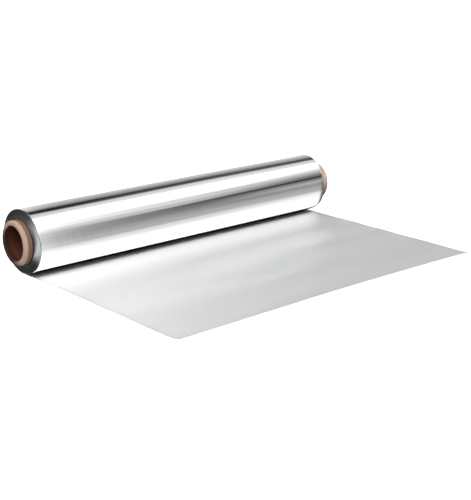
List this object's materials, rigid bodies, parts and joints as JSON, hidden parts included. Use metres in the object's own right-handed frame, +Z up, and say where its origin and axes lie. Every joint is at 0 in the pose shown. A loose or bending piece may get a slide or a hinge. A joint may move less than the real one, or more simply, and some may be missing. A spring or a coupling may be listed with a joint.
{
  "type": "aluminium foil roll",
  "caption": "Roll of thin aluminium foil wound on a paperboard core, with its free end pulled out flat from under the roll, for wrapping and covering food.",
  "frame": {"origin": "on the table, under the middle of the object's box", "axes": "+X along the roll's axis, -Y the way the free end is pulled out, +Z up"},
  "size_m": [0.3206, 0.2126, 0.051],
  "materials": {
    "foil": "bright on the outside of the roll, satin on the upper face of the free end",
    "core_board": "matt kraft paperboard"
  },
  "bodies": {
    "root": {"core": "core_board", "foil": "foil"}
  },
  "joints": []
}
